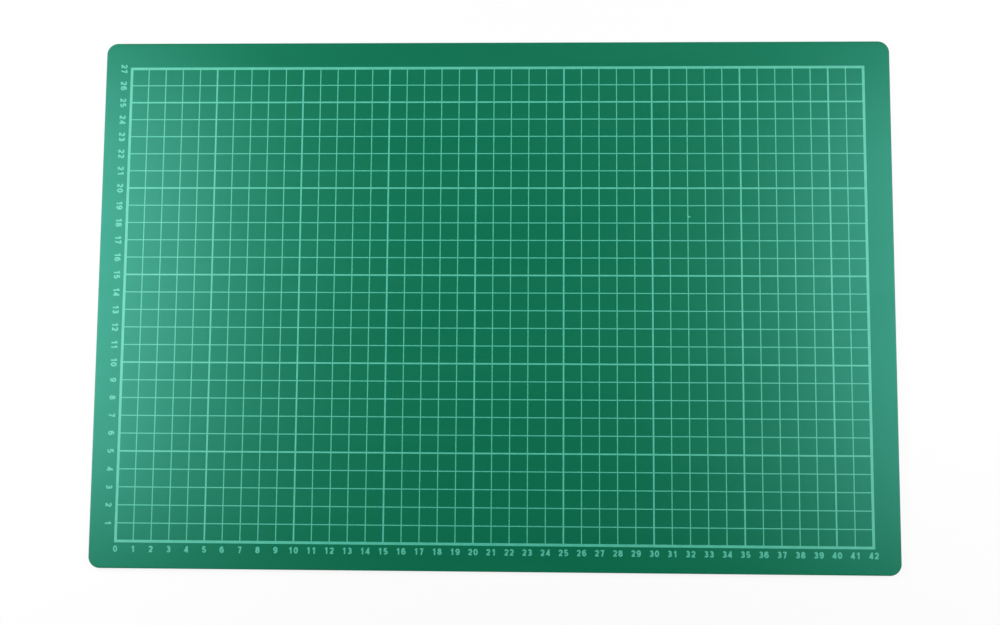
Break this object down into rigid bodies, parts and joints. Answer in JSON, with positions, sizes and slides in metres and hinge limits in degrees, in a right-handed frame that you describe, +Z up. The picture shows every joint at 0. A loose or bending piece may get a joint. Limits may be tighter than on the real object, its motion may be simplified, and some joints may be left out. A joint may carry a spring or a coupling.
{
  "type": "self-healing cutting mat",
  "caption": "Flat rectangular self-healing cutting mat with round corners, a laminated vinyl sheet printed with a centimetre grid for cutting and measuring on a bench.",
  "frame": {"origin": "middle of the underside, on the surface that the mat lies on", "axes": "+Z up, out of the printed face; +X along the length, in the direction in which the long scale counts; +Y across the width, in the direction in which the short scale counts"},
  "size_m": [0.45, 0.3, 0.0031],
  "materials": {
    "surface_vinyl": "satin",
    "backing_vinyl": "matte",
    "core_vinyl": "matte",
    "grid_ink": "satin"
  },
  "bodies": {
    "root": {"bottom_surface_ply": "surface_vinyl", "lower_backing_ply": "backing_vinyl", "core_ply": "core_vinyl", "upper_backing_ply": "backing_vinyl", "top_surface_ply": "surface_vinyl", "grid_upright_lines": "grid_ink", "grid_cross_lines": "grid_ink"}
  },
  "joints": []
}
